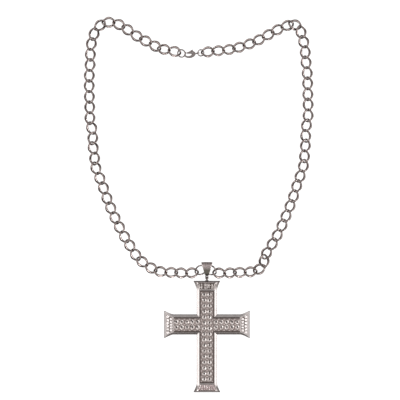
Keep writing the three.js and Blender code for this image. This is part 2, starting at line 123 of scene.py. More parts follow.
# chain
WIRE = 1.65
SIDE_FLATTENING = 0.35
WIRE_IN_BAIL = 1.25   # thinner and round, clear of the bail and the jump ring at rest
LINK_HALF = 5.575     # middle of the wire, from the middle of the link
LINK_HALF_WIDTH = 3.925
TWIST = math.pi / 4
HOLD = 1.35           # how far the two links of one piece reach past each other
IN_BAIL = Vector((-1.0, 51.5, 3.05))

# ---- mesh helpers -------------------------------------------------------------------------------


class Shape:
    """Points and faces gathered for one object."""

    def __init__(self):
        self.points = []
        self.faces = []
        self.kinds = []       # which of the piece's materials each face takes

    def add(self, points, faces, matrix=None, kinds=None):
        start = len(self.points)
        moved = [matrix @ Vector(p) for p in points] if matrix else [Vector(p) for p in points]
        self.points += moved
        self.faces += [[start + i for i in face] for face in faces]
        self.kinds += kinds or [0] * len(faces)

    def add_rows(self, rows, matrix=None, around=True, closed=True, kinds_by_row=None):
        """A skin over rows of points, each row a ring, the last joined to the first if closed."""
        count, width = len(rows), len(rows[0])
        faces, kinds = [], []
        for i in range(count if closed else count - 1):
            for k in range(width if around else width - 1):
                a, b = i, (i + 1) % count
                c, d = k, (k + 1) % width
                faces.append([a * width + c, b * width + c, b * width + d, a * width + d])
                kinds.append(kinds_by_row[i] if kinds_by_row else 0)
        self.add([p for row in rows for p in row], faces, matrix, kinds)

    def add_box(self, x0, x1, y0, y1, z0, z1, matrix=None):
        points = [(x, y, z) for z in (z0, z1) for x, y in ((x0, y0), (x1, y0), (x1, y1), (x0, y1))]
        faces = [[3, 2, 1, 0], [4, 5, 6, 7]]
        faces += [[i, (i + 1) % 4, 4 + (i + 1) % 4, 4 + i] for i in range(4)]
        self.add(points, faces, matrix)

    def add_prism(self, outline, z0, z1, top=1.0, matrix=None):
        """A block over an outline, its top drawn in towards the middle."""
        middle = sum((Vector(p) for p in outline), Vector((0, 0))) / len(outline)
        high = [middle + (Vector(p) - middle) * top for p in outline]
        count = len(outline)
        points = [(*p, z0) for p in outline] + [(*p, z1) for p in high]
        faces = [list(range(count))[::-1], list(range(count, 2 * count))]
        faces += [[i, (i + 1) % count, count + (i + 1) % count, count + i] for i in range(count)]
        self.add(points, faces, matrix)

    def add_flat(self, loops, z):
        """A level face inside the first loop and outside the others."""
        solid = [[Vector((*p, 0)) for p in loop] for loop in loops]
        points = [(*p, z) for loop in loops for p in loop]
        self.add(points, [list(t) for t in tessellate_polygon(solid)])

    def add_dome(self, x, y, z, radius, height, matrix=None):
        """A low round bead, its foot closed."""
        rings, sides = 4, 10
        rows = []
        for i in range(rings):
            lift = i / rings * math.pi / 2
            r = radius * math.cos(lift)
            rows.append([(x + r * math.cos(a), y + r * math.sin(a), z + height * math.sin(lift))
                         for a in (k * 2 * math.pi / sides for k in range(sides))])
        start = len(self.points)
        self.add_rows(rows, matrix, closed=False)
        tip = Vector((x, y, z + height))
        self.points.append(matrix @ tip if matrix else tip)
        last = start + (rings - 1) * sides
        self.faces += [[last + k, last + (k + 1) % sides, last + sides] for k in range(sides)]
        self.faces.append([start + k for k in range(sides)][::-1])
        self.kinds += [0] * (sides + 1)


def make(name, shape, material, body, nodes=(), smooth=True, round_edges=0.0):
    """One Blender object from a shape, riding on a body and standing for CAD nodes."""
    materials = material if isinstance(material, list) else [material]
    mesh = bpy.data.meshes.new(name)
    for entry in materials:
        mesh.materials.append(entry)
    mesh.from_pydata([p * MM for p in shape.points], [], shape.faces)
    mesh.polygons.foreach_set("material_index", shape.kinds)
    mesh.update()
    tidy = bmesh.new()
    tidy.from_mesh(mesh)
    bmesh.ops.remove_doubles(tidy, verts=tidy.verts, dist=0.004 * MM)
    bmesh.ops.recalc_face_normals(tidy, faces=tidy.faces)
    tidy.to_mesh(mesh)
    tidy.free()
    mesh.polygons.foreach_set("use_smooth", [smooth] * len(mesh.polygons))
    piece = bpy.data.objects.new(name, mesh)
    scene.collection.objects.link(piece)
    if round_edges:
        bevel = piece.modifiers.new("edges", "BEVEL")
        bevel.width = round_edges * MM
        bevel.segments = 2
        bevel.limit_method = "ANGLE"
        bevel.angle_limit = math.radians(28)
        bevel.harden_normals = smooth
    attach(piece, body)
    if nodes:
        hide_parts(*nodes)
    return piece


def turned(degrees):
    return Matrix.Rotation(math.radians(degrees), 4, "Z")


def frame_between(start, end):
    """X runs from start to end, and Y stays level."""
    along = (end - start).normalized()
    across = Vector((-along.y, along.x, 0)).normalized()
    return Matrix((along, across, along.cross(across))).transposed().to_4x4()


def oval_rows(half_length, half_width, wire, twist=0.0, steps=44, sides=12, seam=False, flat=0.0,
              square=1.0):
    """Rings of points round the wire of an oval link. Its ends are turned about X by the twist.

    Its long sides are pressed wider than its ends by the share called flat. A square below 1
    fills out the oval's corners.
    """
    rows = []
    for i in range(steps):
        u = 2 * math.pi * i / steps
        turn = twist * math.cos(u)
        mid_x = half_length * math.copysign(abs(math.cos(u)) ** square, math.cos(u))
        mid_y = half_width * math.copysign(abs(math.sin(u)) ** square, math.sin(u))
        fuller = 2 / square - 1
        normal = Vector((math.copysign(abs(mid_x / half_length) ** fuller, mid_x) * half_width,
                         math.copysign(abs(mid_y / half_width) ** fuller, mid_y) * half_length))
        normal.normalize()
        radius = wire / 2 * (0.86 if seam and i == 9 else 1)
        row = []
        for k in range(sides):
            v = 2 * math.pi * k / sides
            out, up = radius * (1 + flat * math.sin(u) ** 4) * math.cos(v), radius * math.sin(v)
            across = mid_y + normal.y * out
            row.append((mid_x + normal.x * out,
                        across * math.cos(turn) - up * math.sin(turn),
                        across * math.sin(turn) + up * math.cos(turn)))
        rows.append(row)
    return rows


# ---- materials ----------------------------------------------------------------------------------


def node_tree(name):
    material = bpy.data.materials.new(name)
    material.use_nodes = True
    return material, material.node_tree.nodes, material.node_tree.links


def metal(name, colour, roughness, grain=900.0, wear=0.25, bump=0.02, tarnish=(0.30, 0.25, 0.24)):
    """Plated cast or drawn metal: cloudy tarnish, fine marks, and a little unevenness."""
    material, nodes, links = node_tree(name)
    shader = nodes["Principled BSDF"]
    shader.inputs["Metallic"].default_value = 1.0
    where = nodes.new("ShaderNodeTexCoord")
    cloud = nodes.new("ShaderNodeTexNoise")
    cloud.inputs["Scale"].default_value = grain * 0.35
    cloud.inputs["Detail"].default_value = 5.0
    marks = nodes.new("ShaderNodeTexNoise")
    marks.inputs["Scale"].default_value = grain * 3.0
    marks.inputs["Detail"].default_value = 3.0
    links.new(where.outputs["Object"], cloud.inputs["Vector"])
    links.new(where.outputs["Object"], marks.inputs["Vector"])
    ramp = nodes.new("ShaderNodeValToRGB")
    ramp.color_ramp.elements[0].position = 0.38
    ramp.color_ramp.elements[1].position = 0.62
    worn = [c * (1 - wear) + t * wear for c, t in zip(colour, tarnish)]
    ramp.color_ramp.elements[0].color = (*worn, 1)
    ramp.color_ramp.elements[1].color = (*colour, 1)
    links.new(cloud.outputs["Fac"], ramp.inputs["Fac"])
    links.new(ramp.outputs["Color"], shader.inputs["Base Color"])
    spread = nodes.new("ShaderNodeMapRange")
    spread.inputs["To Min"].default_value = roughness * 0.7
    spread.inputs["To Max"].default_value = roughness * 1.4
    links.new(marks.outputs["Fac"], spread.inputs["Value"])
    links.new(spread.outputs["Result"], shader.inputs["Roughness"])
    relief = nodes.new("ShaderNodeBump")
    relief.inputs["Strength"].default_value = 0.5
    relief.inputs["Distance"].default_value = bump * MM
    links.new(marks.outputs["Fac"], relief.inputs["Height"])
    links.new(relief.outputs["Normal"], shader.inputs["Normal"])
    return material


def stippled_metal(name, colour, dark, darker_foot_colour, darker_below):
    """The bail's face: small dents, darker inside, lighter on the ridges, and darker towards its foot.
    """
    material, nodes, links = node_tree(name)
    shader = nodes["Principled BSDF"]
    shader.inputs["Metallic"].default_value = 1.0
    where = nodes.new("ShaderNodeTexCoord")
    dents = nodes.new("ShaderNodeTexVoronoi")
    dents.inputs["Scale"].default_value = 820.0
    links.new(where.outputs["Object"], dents.inputs["Vector"])
    ramp = nodes.new("ShaderNodeValToRGB")
    ramp.color_ramp.elements[0].color = (*dark, 1)
    ramp.color_ramp.elements[1].color = (*colour, 1)
    ramp.color_ramp.elements[1].position = 0.55
    links.new(dents.outputs["Distance"], ramp.inputs["Fac"])
    split = nodes.new("ShaderNodeSeparateXYZ")
    links.new(where.outputs["Object"], split.inputs["Vector"])
    # the colour turns darker towards the bail's foot, over 3 mm
    foot_blend = nodes.new("ShaderNodeMapRange")
    foot_blend.interpolation_type = "SMOOTHSTEP"
    links.new(split.outputs["Y"], foot_blend.inputs["Value"])
    foot_blend.inputs["From Min"].default_value = darker_below * MM
    foot_blend.inputs["From Max"].default_value = (darker_below + 3.0) * MM
    mix = nodes.new("ShaderNodeMix")
    mix.data_type = "RGBA"
    links.new(foot_blend.outputs["Result"], mix.inputs["Factor"])
    mix.inputs["A"].default_value = (*darker_foot_colour, 1)
    links.new(ramp.outputs["Color"], mix.inputs["B"])
    links.new(mix.outputs["Result"], shader.inputs["Base Color"])
    shader.inputs["Roughness"].default_value = 0.33
    relief = nodes.new("ShaderNodeBump")
    relief.inputs["Strength"].default_value = 0.7
    relief.inputs["Distance"].default_value = 0.12 * MM
    links.new(dents.outputs["Distance"], relief.inputs["Height"])
    links.new(relief.outputs["Normal"], shader.inputs["Normal"])
    return material


def crystal(name, colour, cloudy, mirror):
    """A foil-backed cut stone: facets over cloudy foil, part mirror, under a clear coat."""
    material, nodes, links = node_tree(name)
    shader = nodes["Principled BSDF"]
    shader.inputs["Metallic"].default_value = mirror
    shader.inputs["Roughness"].default_value = 0.08
    shader.inputs["Coat Weight"].default_value = 0.6
    shader.inputs["Coat Roughness"].default_value = 0.03
    where = nodes.new("ShaderNodeTexCoord")
    cloud = nodes.new("ShaderNodeTexNoise")
    cloud.inputs["Scale"].default_value = 520.0
    cloud.inputs["Detail"].default_value = 3.0
    ramp = nodes.new("ShaderNodeValToRGB")
    ramp.color_ramp.elements[0].position = 0.38
    ramp.color_ramp.elements[1].position = 0.62
    ramp.color_ramp.elements[0].color = (*cloudy, 1)
    ramp.color_ramp.elements[1].color = (*colour, 1)
    links.new(where.outputs["Object"], cloud.inputs["Vector"])
    links.new(cloud.outputs["Fac"], ramp.inputs["Fac"])
    links.new(ramp.outputs["Color"], shader.inputs["Base Color"])
    return material


CAST = metal("cast_alloy", (0.75, 0.70, 0.685), 0.20, wear=0.15)
DARK = metal("setting_alloy", (0.17, 0.138, 0.128), 0.34, wear=0.4, bump=0.05,
             tarnish=(0.07, 0.055, 0.05))
PALE_CUT = metal("pale_bed", (0.25, 0.215, 0.20), 0.4, wear=0.4, tarnish=(0.14, 0.11, 0.10))
PLATE = metal("setting_plate", (0.40, 0.345, 0.325), 0.4, wear=0.4, tarnish=(0.20, 0.16, 0.15))
# painted shade: a dark band on the flat ledge along the cross's outer edge
EDGE = metal("shaded_edge", (0.20, 0.18, 0.18), 0.5, wear=0.3, tarnish=(0.12, 0.10, 0.10))
BRIGHT_CUT = metal("bright_cut_edges", (0.64, 0.56, 0.54), 0.42, wear=0.25)
CHAIN = metal("chain_wire", (0.305, 0.257, 0.245), 0.22, grain=600.0, wear=0.35,
              tarnish=(0.11, 0.085, 0.08))
LOOP = metal("loop_wire", (0.21, 0.18, 0.17), 0.3, wear=0.3, tarnish=(0.09, 0.075, 0.07))
CLASP = metal("clasp_alloy", (0.31, 0.27, 0.26), 0.22, wear=0.3, tarnish=(0.16, 0.13, 0.12))
STEEL = metal("spring_steel", (0.42, 0.40, 0.40), 0.3)
BAIL = stippled_metal("bail_stipple", (0.50, 0.43, 0.42), (0.18, 0.145, 0.14),
                      (0.17, 0.158, 0.135), darker_below=49.0)
STONES = crystal("clear_stones", (0.48, 0.43, 0.41), (0.33, 0.29, 0.275), 0.4)
# painted highlight: near-white facets that stand in for glints off the stones
PAINTED_GLINTS = crystal("painted_glint_facets", (0.84, 0.80, 0.78), (0.70, 0.655, 0.63), 0.3)
# painted reflection: near-black facets and table hearts stand in for dark reflections in the stones
PAINTED_DARK_FACETS = crystal("painted_dark_facets", (0.05, 0.04, 0.038), (0.02, 0.016, 0.015), 0.2)
SMALL_STONES = crystal("bright_small_stones", (0.90, 0.86, 0.85), (0.70, 0.66, 0.65), 0.4)
PINK_STONES = crystal("pinkish_stones", (0.47, 0.36, 0.36), (0.30, 0.225, 0.225), 0.5)

# ---- the cross ----------------------------------------------------------------------------------


def on_arm(arm, points):
    """Points given along and across an arm, turned to where the arm points."""
    matrix = turned(arm["turn"])
    return [(matrix @ Vector((x, y, 0))).to_2d() for x, y in points]


def flare_edge(arm, steps=6):
    """Along and across positions of a flare's side, a little hollow, from arm to tip."""
    start = arm["reach"] - arm["flare"]
    grow = arm["flare_half"] - ARM_HALF
    shares = [i / steps for i in range(steps + 1)]
    return [(start + arm["flare"] * t, ARM_HALF + grow * t ** 1.3) for t in shares]


def arm_loop(arm, inset, rim, z, widen):
    """One arm's part of a loop round the cross, drawn in from its sides and from its tip.

    The loop rises from z along the arm to the tip's own height, and along a flare it is drawn in
    further, by widen at the tip.
    """
    start = arm["reach"] - arm["flare"]
    squeeze = (arm["flare"] - rim) / arm["flare"]
    side = []
    for x, y in flare_edge(arm):
        share = (x - start) / arm["flare"]
        rise = max(arm["tip_z"] - z, 0) * share
        side.append((start + (x - start) * squeeze, y - inset - widen * share, z + rise))
    corner = ARM_HALF - inset
    points = [(x, -y, height) for x, y, height in side] + side[::-1] + [(corner, corner, z)]
    spun = turned(arm["turn"])
    return [spun @ Vector(p) for p in points]


def body_loop(inset, z, tip_inset=None):
    """A closed loop round the cross; tip_inset names how far each tip is drawn in, if not as far."""
    return [p for arm in ARMS.values()
            for p in arm_loop(arm, inset, arm[tip_inset] if tip_inset else inset, z,
                              arm["side_ledge"] if tip_inset == "tip_ledge" else 0)]


def channel_loop():
    """The outline of the sunken channel that all four arms share."""
    points = []
    for arm in ARMS.values():
        end = arm["reach"] - arm["flare"] - WEB / 2
        points += on_arm(arm, [(end, -CHANNEL_HALF), (end, CHANNEL_HALF),
                               (CHANNEL_HALF, CHANNEL_HALF)])
    return points


def pocket_loop(arm, inset=0.0):
    """The outline of the pocket in a flare, or of its floor if drawn in by an inset."""
    start = arm["reach"] - arm["flare"] + WEB / 2 + inset
    end = arm["reach"] - arm["rim"] - 0.25 - inset
    slope = (arm["flare_half"] - ARM_HALF) / arm["flare"]
    low = CHANNEL_HALF - GAP - inset
    high = low + slope * (end - start) - 0.3
    return on_arm(arm, [(start, -low), (end, -high), (end, high), (start, low)])


def cross_body():
    """The cast cross: bevelled edge, channel, four pockets, and the lug on its saddle."""
    shape = Shape()
    rows = []
    for inset, z in ((0.12, 0.0), (0, 0.12)):
        rows.append([Vector((p.x, p.y, z)) for p in body_loop(inset, z)])
    rows.append(body_loop(0, SIDE_Z))
    rows.append([p + Vector((0, 0, 0.06)) for p in body_loop(LEDGE, SIDE_Z, "tip_ledge")])
    top_loop = [Vector((p.x, p.y, BODY_Z)) for p in body_loop(BEVEL, BODY_Z, "rim")]
    rows.append(top_loop)
    # the third band, the ledge outside the bevel, takes the painted shade
    shape.add_rows(rows, closed=False, kinds_by_row=[0, 0, 1, 0])
    lug = oval_rows(LUG_RADIUS, LUG_RADIUS, LUG_WIRE, steps=28, sides=12)
    upright = Matrix.Translation(LUG_AT) @ Matrix.Rotation(math.pi / 2, 4, "Y")
    shape.add_rows(lug, upright, kinds_by_row=[2] * len(lug))
    start = len(shape.faces)
    shape.add_prism(SADDLE, SADDLE_LOW_Z, SADDLE_HIGH_Z, 0.85)
    shape.kinds[start:] = [2] * (len(shape.faces) - start)
    channel = channel_loop()
    shape.add_rows([[(*p, BODY_Z) for p in channel], [(*p, BACK_Z) for p in channel]], closed=False)
    shape.add_flat([channel], BACK_Z)
    pockets = []
    for arm in ARMS.values():
        high, low = pocket_loop(arm), pocket_loop(arm, POCKET_SLOPE)
        shape.add_rows([[(*p, BODY_Z) for p in high], [(*p, POCKET_EDGE_Z) for p in low],
                        [(*p, BACK_Z) for p in low]], closed=False)
        shape.add_flat([low], BACK_Z)
        pockets.append(high)
    shape.add_flat([[p.to_2d() for p in top_loop], channel] + pockets, BODY_Z)
    shape.add_flat([[p.to_2d() for p in rows[0]]], 0.0)
    return make("cross_frame", shape, [CAST, EDGE, LOOP], "cross", ["cross_body"],
                smooth=False, round_edges=0.12)


def facet_kind(azimuth, painted_glint_at):
    """0 for a plain facet, 1 for one painted with a glint, 2 for one painted dark as a dark reflection.

    Facets painted with glints face along one line, to both sides, a little more on its lower side.
    """
    azimuth -= painted_glint_at
    score = abs(math.cos(azimuth)) - 0.25 * math.sin(azimuth) + chance.uniform(-0.3, 0.3)
    return 1 if score > 0.98 else 2 if score < 0.0 else 0


def cut_stone(shape, x, y, radius, low, high, arm_turn=0.0, painted_glint_at=0.0, lean=0.0, painted_heart=True):
    """A round stone cut with a table, eight star facets, eight kites and a girdle.

    A small dark piece on its table, drawn towards the head of the cross, is a painted dark reflection
    of its point.
    """
    turn = chance.uniform(0, 0.8)
    tilt = Matrix.Rotation(chance.uniform(-lean, lean), 4, "X")
    tilt = tilt @ Matrix.Rotation(chance.uniform(-lean, lean), 4, "Y")
    place = Matrix.Translation((x, y, low)) @ tilt @ Matrix.Rotation(turn, 4, "Z")
    tall = high - low
    facing = turn + arm_turn
    eighth = math.pi / 4
    table = [(0.5 * radius * math.cos(k * eighth), 0.5 * radius * math.sin(k * eighth), tall)
             for k in range(8)]
    mid = [(0.76 * radius * math.cos((k + 0.5) * eighth), 0.76 * radius * math.sin((k + 0.5) * eighth),
            tall * 0.62) for k in range(8)]
    girdle = [(radius * math.cos(k * eighth / 2), radius * math.sin(k * eighth / 2), tall * 0.18)
              for k in range(16)]
    foot = [(p[0], p[1], -0.04) for p in girdle]
    faces, kinds = [list(range(8)), list(range(47, 31, -1))], [0, 0]
    for k in range(8):
        before, after = (k - 1) % 8, (k + 1) % 8
        faces.append([k, 8 + k, after])
        faces.append([k, 8 + before, 16 + 2 * k, 8 + k])
        faces.append([8 + k, 16 + 2 * k, 16 + 2 * k + 1])
        faces.append([8 + k, 16 + 2 * k + 1, 16 + (2 * k + 2) % 16])
        # painted glints and painted dark reflections, given by the way each facet faces
        kinds += [facet_kind((k + shift) * eighth + facing, painted_glint_at)
                  for shift in (0.5, 0, 0.25, 0.75)]
    for k in range(16):
        after = (k + 1) % 16
        faces.append([16 + k, 32 + k, 32 + after, 16 + after])
        kinds.append(0)
    shape.add(table + mid + girdle + foot, faces, place, kinds)
    if not painted_heart:
        return
    # painted reflection: a small dark piece on the table stands for the point seen through it
    up = Vector((math.sin(facing), math.cos(facing))) * 0.12 * radius
    rim = [up + Vector((math.cos(k * eighth), math.sin(k * eighth))) * radius * size
           for k, size in enumerate((0.52, 0.42) * 4)]
    start = len(shape.faces)
    shape.add_prism(rim, tall - 0.06, tall + 0.02, 0.85, place)
    shape.kinds[start:] = [2] * (len(shape.faces) - start)


def row_places(first, last, count):
    """The middles of equal steps between two places."""
    pitch = (last - first) / count
    return [first + (i + 0.5) * pitch for i in range(count)]


def stone_rows(name, arm_turn, first, last, count, painted_glint_at):
    """Two rows of stones along an arm."""
    shape = Shape()
    for x in row_places(first, last, count):
        for y in (-ROW_OFFSET, ROW_OFFSET):
            cut_stone(shape, x, y, STONE_R, STONE_LOW_Z, STONE_HIGH_Z, math.radians(arm_turn), painted_glint_at,
                      0.1)
    spun = turned(arm_turn)
    shape.points = [spun @ p for p in shape.points]
    return make(name, shape, [STONES, PAINTED_GLINTS, PAINTED_DARK_FACETS], "cross", [name], smooth=False)


def rails(name, arm_turn, walls, plates):
    """The dark raised edges of a setting, and the pale plate between them."""
    spun = turned(arm_turn)
    plate = Shape()
    for numbers in plates:
        plate.add_box(*numbers, matrix=spun)
    make(name.replace("setting", "plate"), plate, PLATE, "cross", smooth=False,
         round_edges=0.1)
    shape = Shape()
    for numbers in walls:
        shape.add_box(*numbers, matrix=spun)
    return make(name, shape, DARK, "cross", [name], smooth=False, round_edges=0.14)


def bright_work(name, arm_turn, first, last, count):
    """Beads where four stones meet, and pairs of prongs between the stones along both edges."""
    shape = Shape()
    spun = turned(arm_turn)
    pitch = (last - first) / count
    for i in range(count + 1):
        x = first + i * pitch
        inside = 0 < i < count
        if inside:
            shape.add_dome(x, 0, BED_Z, 0.8, 0.8, spun)
        for side in (-1, 1):
            half = 1.25 if inside else 0.7
            middle = x if inside else x + (0.7 if i == 0 else -0.7)
            inner, outer = side * 4.2, side * 5.65
            block = [(middle - half * 0.45, inner), (middle + half * 0.45, inner),
                     (middle + half, outer), (middle - half, outer)]
            shape.add_prism(block if side > 0 else block[::-1], BED_Z - 0.2, 3.9, 0.8, spun)
            if inside:
                shape.add_dome(x, side * 3.55, BED_Z, 0.5, 0.75, spun)
                for lean in (-1, 1):
                    shape.add_dome(x + lean * 1.75, side * 5.15, BED_Z, 0.42, 0.7, spun)
    return make(name, shape, BRIGHT_CUT, "cross", smooth=False)


def settings():
    """The upright setting through the crossing and the two arm settings that meet it."""
    foot = -(ARMS["bottom"]["reach"] - ARMS["bottom"]["flare"] - WEB)
    head = ARMS["top"]["reach"] - ARMS["top"]["flare"] - WEB
    end_wall = 0.9
    notch = TRAY_INNER - GAP
    walls = []
    for sign in (-1, 1):
        y0, y1 = sorted((sign * TRAY_INNER, sign * TRAY_HALF))
        walls.append((foot, -CHANNEL_HALF, y0, y1, TRAY_LOW_Z, RAIL_Z))
        walls.append((CHANNEL_HALF, head, y0, y1, TRAY_LOW_Z, RAIL_Z))
    walls.append((foot, foot + end_wall, -TRAY_INNER, TRAY_INNER, TRAY_LOW_Z, RAIL_Z))
    walls.append((head - end_wall, head, -TRAY_INNER, TRAY_INNER, TRAY_LOW_Z, RAIL_Z))
    plates = [(foot + end_wall, -CHANNEL_HALF, -TRAY_INNER, TRAY_INNER, TRAY_LOW_Z, BED_Z),
              (-CHANNEL_HALF, CHANNEL_HALF, -notch, notch, TRAY_LOW_Z, BED_Z),
              (CHANNEL_HALF, head - end_wall, -TRAY_INNER, TRAY_INNER, TRAY_LOW_Z, BED_Z)]
    rails("setting_upright", 90, walls, plates)
    first, last = foot + 1.2, head - 1.2
    bright_work("bright_cut_upright", 90, first, last, UPRIGHT_ROWS)
    stone_rows("stones_upright", 90, first, last, UPRIGHT_ROWS, 0.0)
    tip = ARMS["right"]["reach"] - ARMS["right"]["flare"] - WEB
    for name, turn in (("left", 180), ("right", 0)):
        walls = [(TRAY_INNER, tip, TRAY_INNER, TRAY_HALF, TRAY_LOW_Z, RAIL_Z),
                 (TRAY_INNER, tip, -TRAY_HALF, -TRAY_INNER, TRAY_LOW_Z, RAIL_Z)]
        plates = [(TRAY_INNER, tip, -TRAY_INNER, TRAY_INNER, TRAY_LOW_Z, BED_Z)]
        rails(f"setting_{name}", turn, walls, plates)
        bright_work(f"bright_cut_{name}", turn, TRAY_INNER + 0.15, tip, ARM_ROWS)
        stone_rows(f"stones_{name}", turn, TRAY_INNER + 0.15, tip, ARM_ROWS, 1.0)


def panel_bed(arm_name, material):
    """The plate in a flare's pocket that its stones sit on."""
    shape = Shape()
    arm = ARMS[arm_name]
    shape.add_prism(pocket_loop(arm, POCKET_SLOPE + 0.05), TRAY_LOW_Z, PANEL_Z)
    return make(f"panel_bed_{arm_name}", shape, material, "cross", smooth=False,
                round_edges=0.1)


def side_panel(name):
    """Small round stones: six along the tip and five behind them."""
    arm = ARMS[name]
    shape = Shape()
    spun = turned(arm["turn"])
    for back, count, pitch, radius in ((6.25, 5, 2.55, 1.2), (3.45, 6, 2.8, 1.28)):
        for i in range(count):
            at = spun @ Vector((arm["reach"] - back, (i - (count - 1) / 2) * pitch, 0))
            cut_stone(shape, at.x, at.y, radius, PANEL_Z - 0.05, PANEL_STONE_HIGH_Z, lean=0.08,
                      painted_heart=False)
    panel_bed(name, PALE_CUT)
    # facets of kind 2 take the plate's colour as painted dark reflections, and kind 1 takes painted
    # glints
    return make(f"flare_stones_{name}", shape, [SMALL_STONES, PAINTED_GLINTS, PLATE], "cross",
                [f"flare_panel_{name}"], smooth=False)


def baguette(shape, arm, x0, x1, y0, y1, spread=0.0, cuts=1):
    """A bar cut into small pyramids; spread leans its outer end away from the arm's middle line."""
    spun = turned(arm["turn"])
    corners = [(x0, y0), (x1, y0 + spread), (x1, y1 + spread), (x0, y1)]
    shape.add_prism(corners, BAR_LOW_Z, BAR_Z, 0.9, spun)
    length, width, low = (x1 - x0) / cuts, y1 - y0, BAR_Z - 0.02
    for k in range(cuts):
        near, far = x0 + k * length + 0.1, x0 + (k + 1) * length - 0.1
        lean_near, lean_far = (spread * (x - x0) / (x1 - x0) for x in (near, far))
        base = [(near, y0 + lean_near + 0.1 * width, low), (far, y0 + lean_far + 0.1 * width, low),
                (far, y1 + lean_far - 0.1 * width, low), (near, y1 + lean_near - 0.1 * width, low)]
        tip = ((near + far) / 2, (y0 + y1 + lean_near + lean_far) / 2, BAR_TIP_Z)
        # painted glints (kind 1) and, on the top flare, painted dark reflections (kind 2) on random
        # facets
        kinds = [chance.choice((0, 0, 0, 1, 2)) for _ in range(4)] + [0]
        faces = [[0, 1, 4], [1, 2, 4], [2, 3, 4], [3, 0, 4], [3, 2, 1, 0]]
        shape.add(base + [tip], faces, spun, kinds)


def end_panel_top():
    """Two small square stones by two in the middle, and two leaning bars on each side."""
    arm = ARMS["top"]
    shape = Shape()
    tip = arm["reach"] - 2.3
    foot = arm["reach"] - arm["flare"] + 0.8
    half = (tip - foot) / 2
    for i in range(2):
        for side in (-1, 1):
            x0 = foot + i * half
            y0, y1 = sorted((side * 0.15, side * 2.75))
            baguette(shape, arm, x0 + 0.1, x0 + half - 0.1, y0, y1, cuts=2)
    for side in (-1, 1):
        for k in range(2):
            near = side * (3.95 + 1.45 * k)
            far = side * (5.2 + 1.45 * k)
            y0, y1 = sorted((near, far))
            baguette(shape, arm, foot, tip, y0, y1, side * (0.35 + 0.75 * k), cuts=4)
    panel_bed("top", DARK)
    return make("flare_stones_top", shape, [STONES, PAINTED_GLINTS, PAINTED_DARK_FACETS], "cross", ["flare_panel_top"],
                smooth=False)


def end_panel_bottom():
    """Seven narrow bars side by side."""
    arm = ARMS["bottom"]
    shape = Shape()
    tip = arm["reach"] - 2.3
    foot = arm["reach"] - arm["flare"] + 0.8
    for i in range(7):
        middle = (i - 3) * 1.85
        baguette(shape, arm, foot, tip, middle - 0.75, middle + 0.75, (i - 3) * 0.45, cuts=3)
    panel_bed("bottom", PLATE)
    return make("flare_stones_bottom", shape, [PINK_STONES, PAINTED_GLINTS, STONES], "cross",
                ["flare_panel_bottom"], smooth=False)


# ---- bail, rings --------------------------------------------------------------------------------


def bail_half_width(y):
    """Narrow at the foot, then widening evenly to the head, with a smooth step between."""
    if y < BAIL_FOOT_END:
        return BAIL_FOOT_HALF
    blend = min((y - BAIL_FOOT_END) / 1.2, 1)
    wide = 1.9 + (y - 45.0) * 0.285
    return BAIL_FOOT_HALF + (wide - BAIL_FOOT_HALF) * blend * blend * (3 - 2 * blend)


def bail():
    """A tapered strip bent into a flat-sided loop, crowned across its face."""
    half_sheet = BAIL_SHEET / 2
    radius = BAIL_INNER + half_sheet
    turn_steps = 24
    line = []
    for start, middle in ((-math.pi / 2, BAIL_HIGH - half_sheet - radius),
                          (math.pi / 2, BAIL_LOW + half_sheet + radius)):
        for i in range(turn_steps + 1):
            a = start + math.pi * i / turn_steps
            line.append((middle + radius * math.cos(a), radius * math.sin(a), math.cos(a),
                         math.sin(a)))
    dense = []
    for i, here in enumerate(line):
        there = line[(i + 1) % len(line)]
        steps = 12 if i % (turn_steps + 1) == turn_steps else 1
        for k in range(steps):
            t = k / steps
            dense.append([a + (b - a) * t for a, b in zip(here, there)])
    rows = []
    for y, z, ny, nz in dense:
        half = bail_half_width(y)
        rows.append([(half * across, y + ny * out * half_sheet,
                      BAIL_INNER + BAIL_SHEET + z + nz * out * half_sheet)
                     for across, out in BAIL_SECTION])
    shape = Shape()
    shape.add_rows(rows)
    return make("bail_strip", shape, BAIL, "bail", ["bail"])


def ring_frame(node):
    """Where a CAD ring lies: its middle, and a frame whose Z is the ring's own axis."""
    points = np.array([v.co for v in frame["nodes"][node].data.vertices]) / MM
    middle = points.mean(0)
    axes = np.linalg.svd(points - middle, full_matrices=False)[2]
    matrix = Matrix([list(a) for a in axes]).transposed()
    if matrix.determinant() < 0:
        matrix.col[2] = -matrix.col[2]
    return Matrix.Translation(middle.tolist()) @ matrix.to_4x4()


def ring(name, node, body, half_length, half_width, wire, material, square=1.0):
    """A soldered ring where the CAD ring lies, its seam a little thinner."""
    shape = Shape()
    rows = oval_rows(half_length, half_width, wire, steps=56, sides=14, seam=True, square=square)
    shape.add_rows(rows, ring_frame(node))
    return make(name, shape, material, body, [node])


# ---- chain --------------------------------------------------------------------------------------


def add_link(shape, start, end, reach, wire=WIRE, flat=SIDE_FLATTENING):
    """A link that starts a short reach before one point and runs on past another."""
    matrix = frame_between(start, end)
    middle = start + matrix.col[0].to_3d() * (LINK_HALF - reach)
    roll = Matrix.Rotation(chance.uniform(-0.05, 0.05), 4, "X")
    rows = oval_rows(LINK_HALF, LINK_HALF_WIDTH, wire, TWIST, flat=flat)
    place = Matrix.Translation(middle) @ matrix @ roll
    lowest = min((place @ Vector(p)).z for row in rows for p in row)
    shape.add_rows(rows, Matrix.Translation((0, 0, max(0.02 - lowest, 0))) @ place)


def hold_between(node, start, end):
    """Where the two links of a piece hold each other, from the middle of their surface."""
    mesh = frame["nodes"][node].data
    area = sum(face.area for face in mesh.polygons)
    middle = sum((face.center * face.area for face in mesh.polygons), Vector()) / area / MM
    hold = middle
    for _ in range(16):
        outwards = (start - hold).normalized() + (end - hold).normalized()
        hold = middle - outwards * (LINK_HALF - HOLD / 2) / 2
    return hold


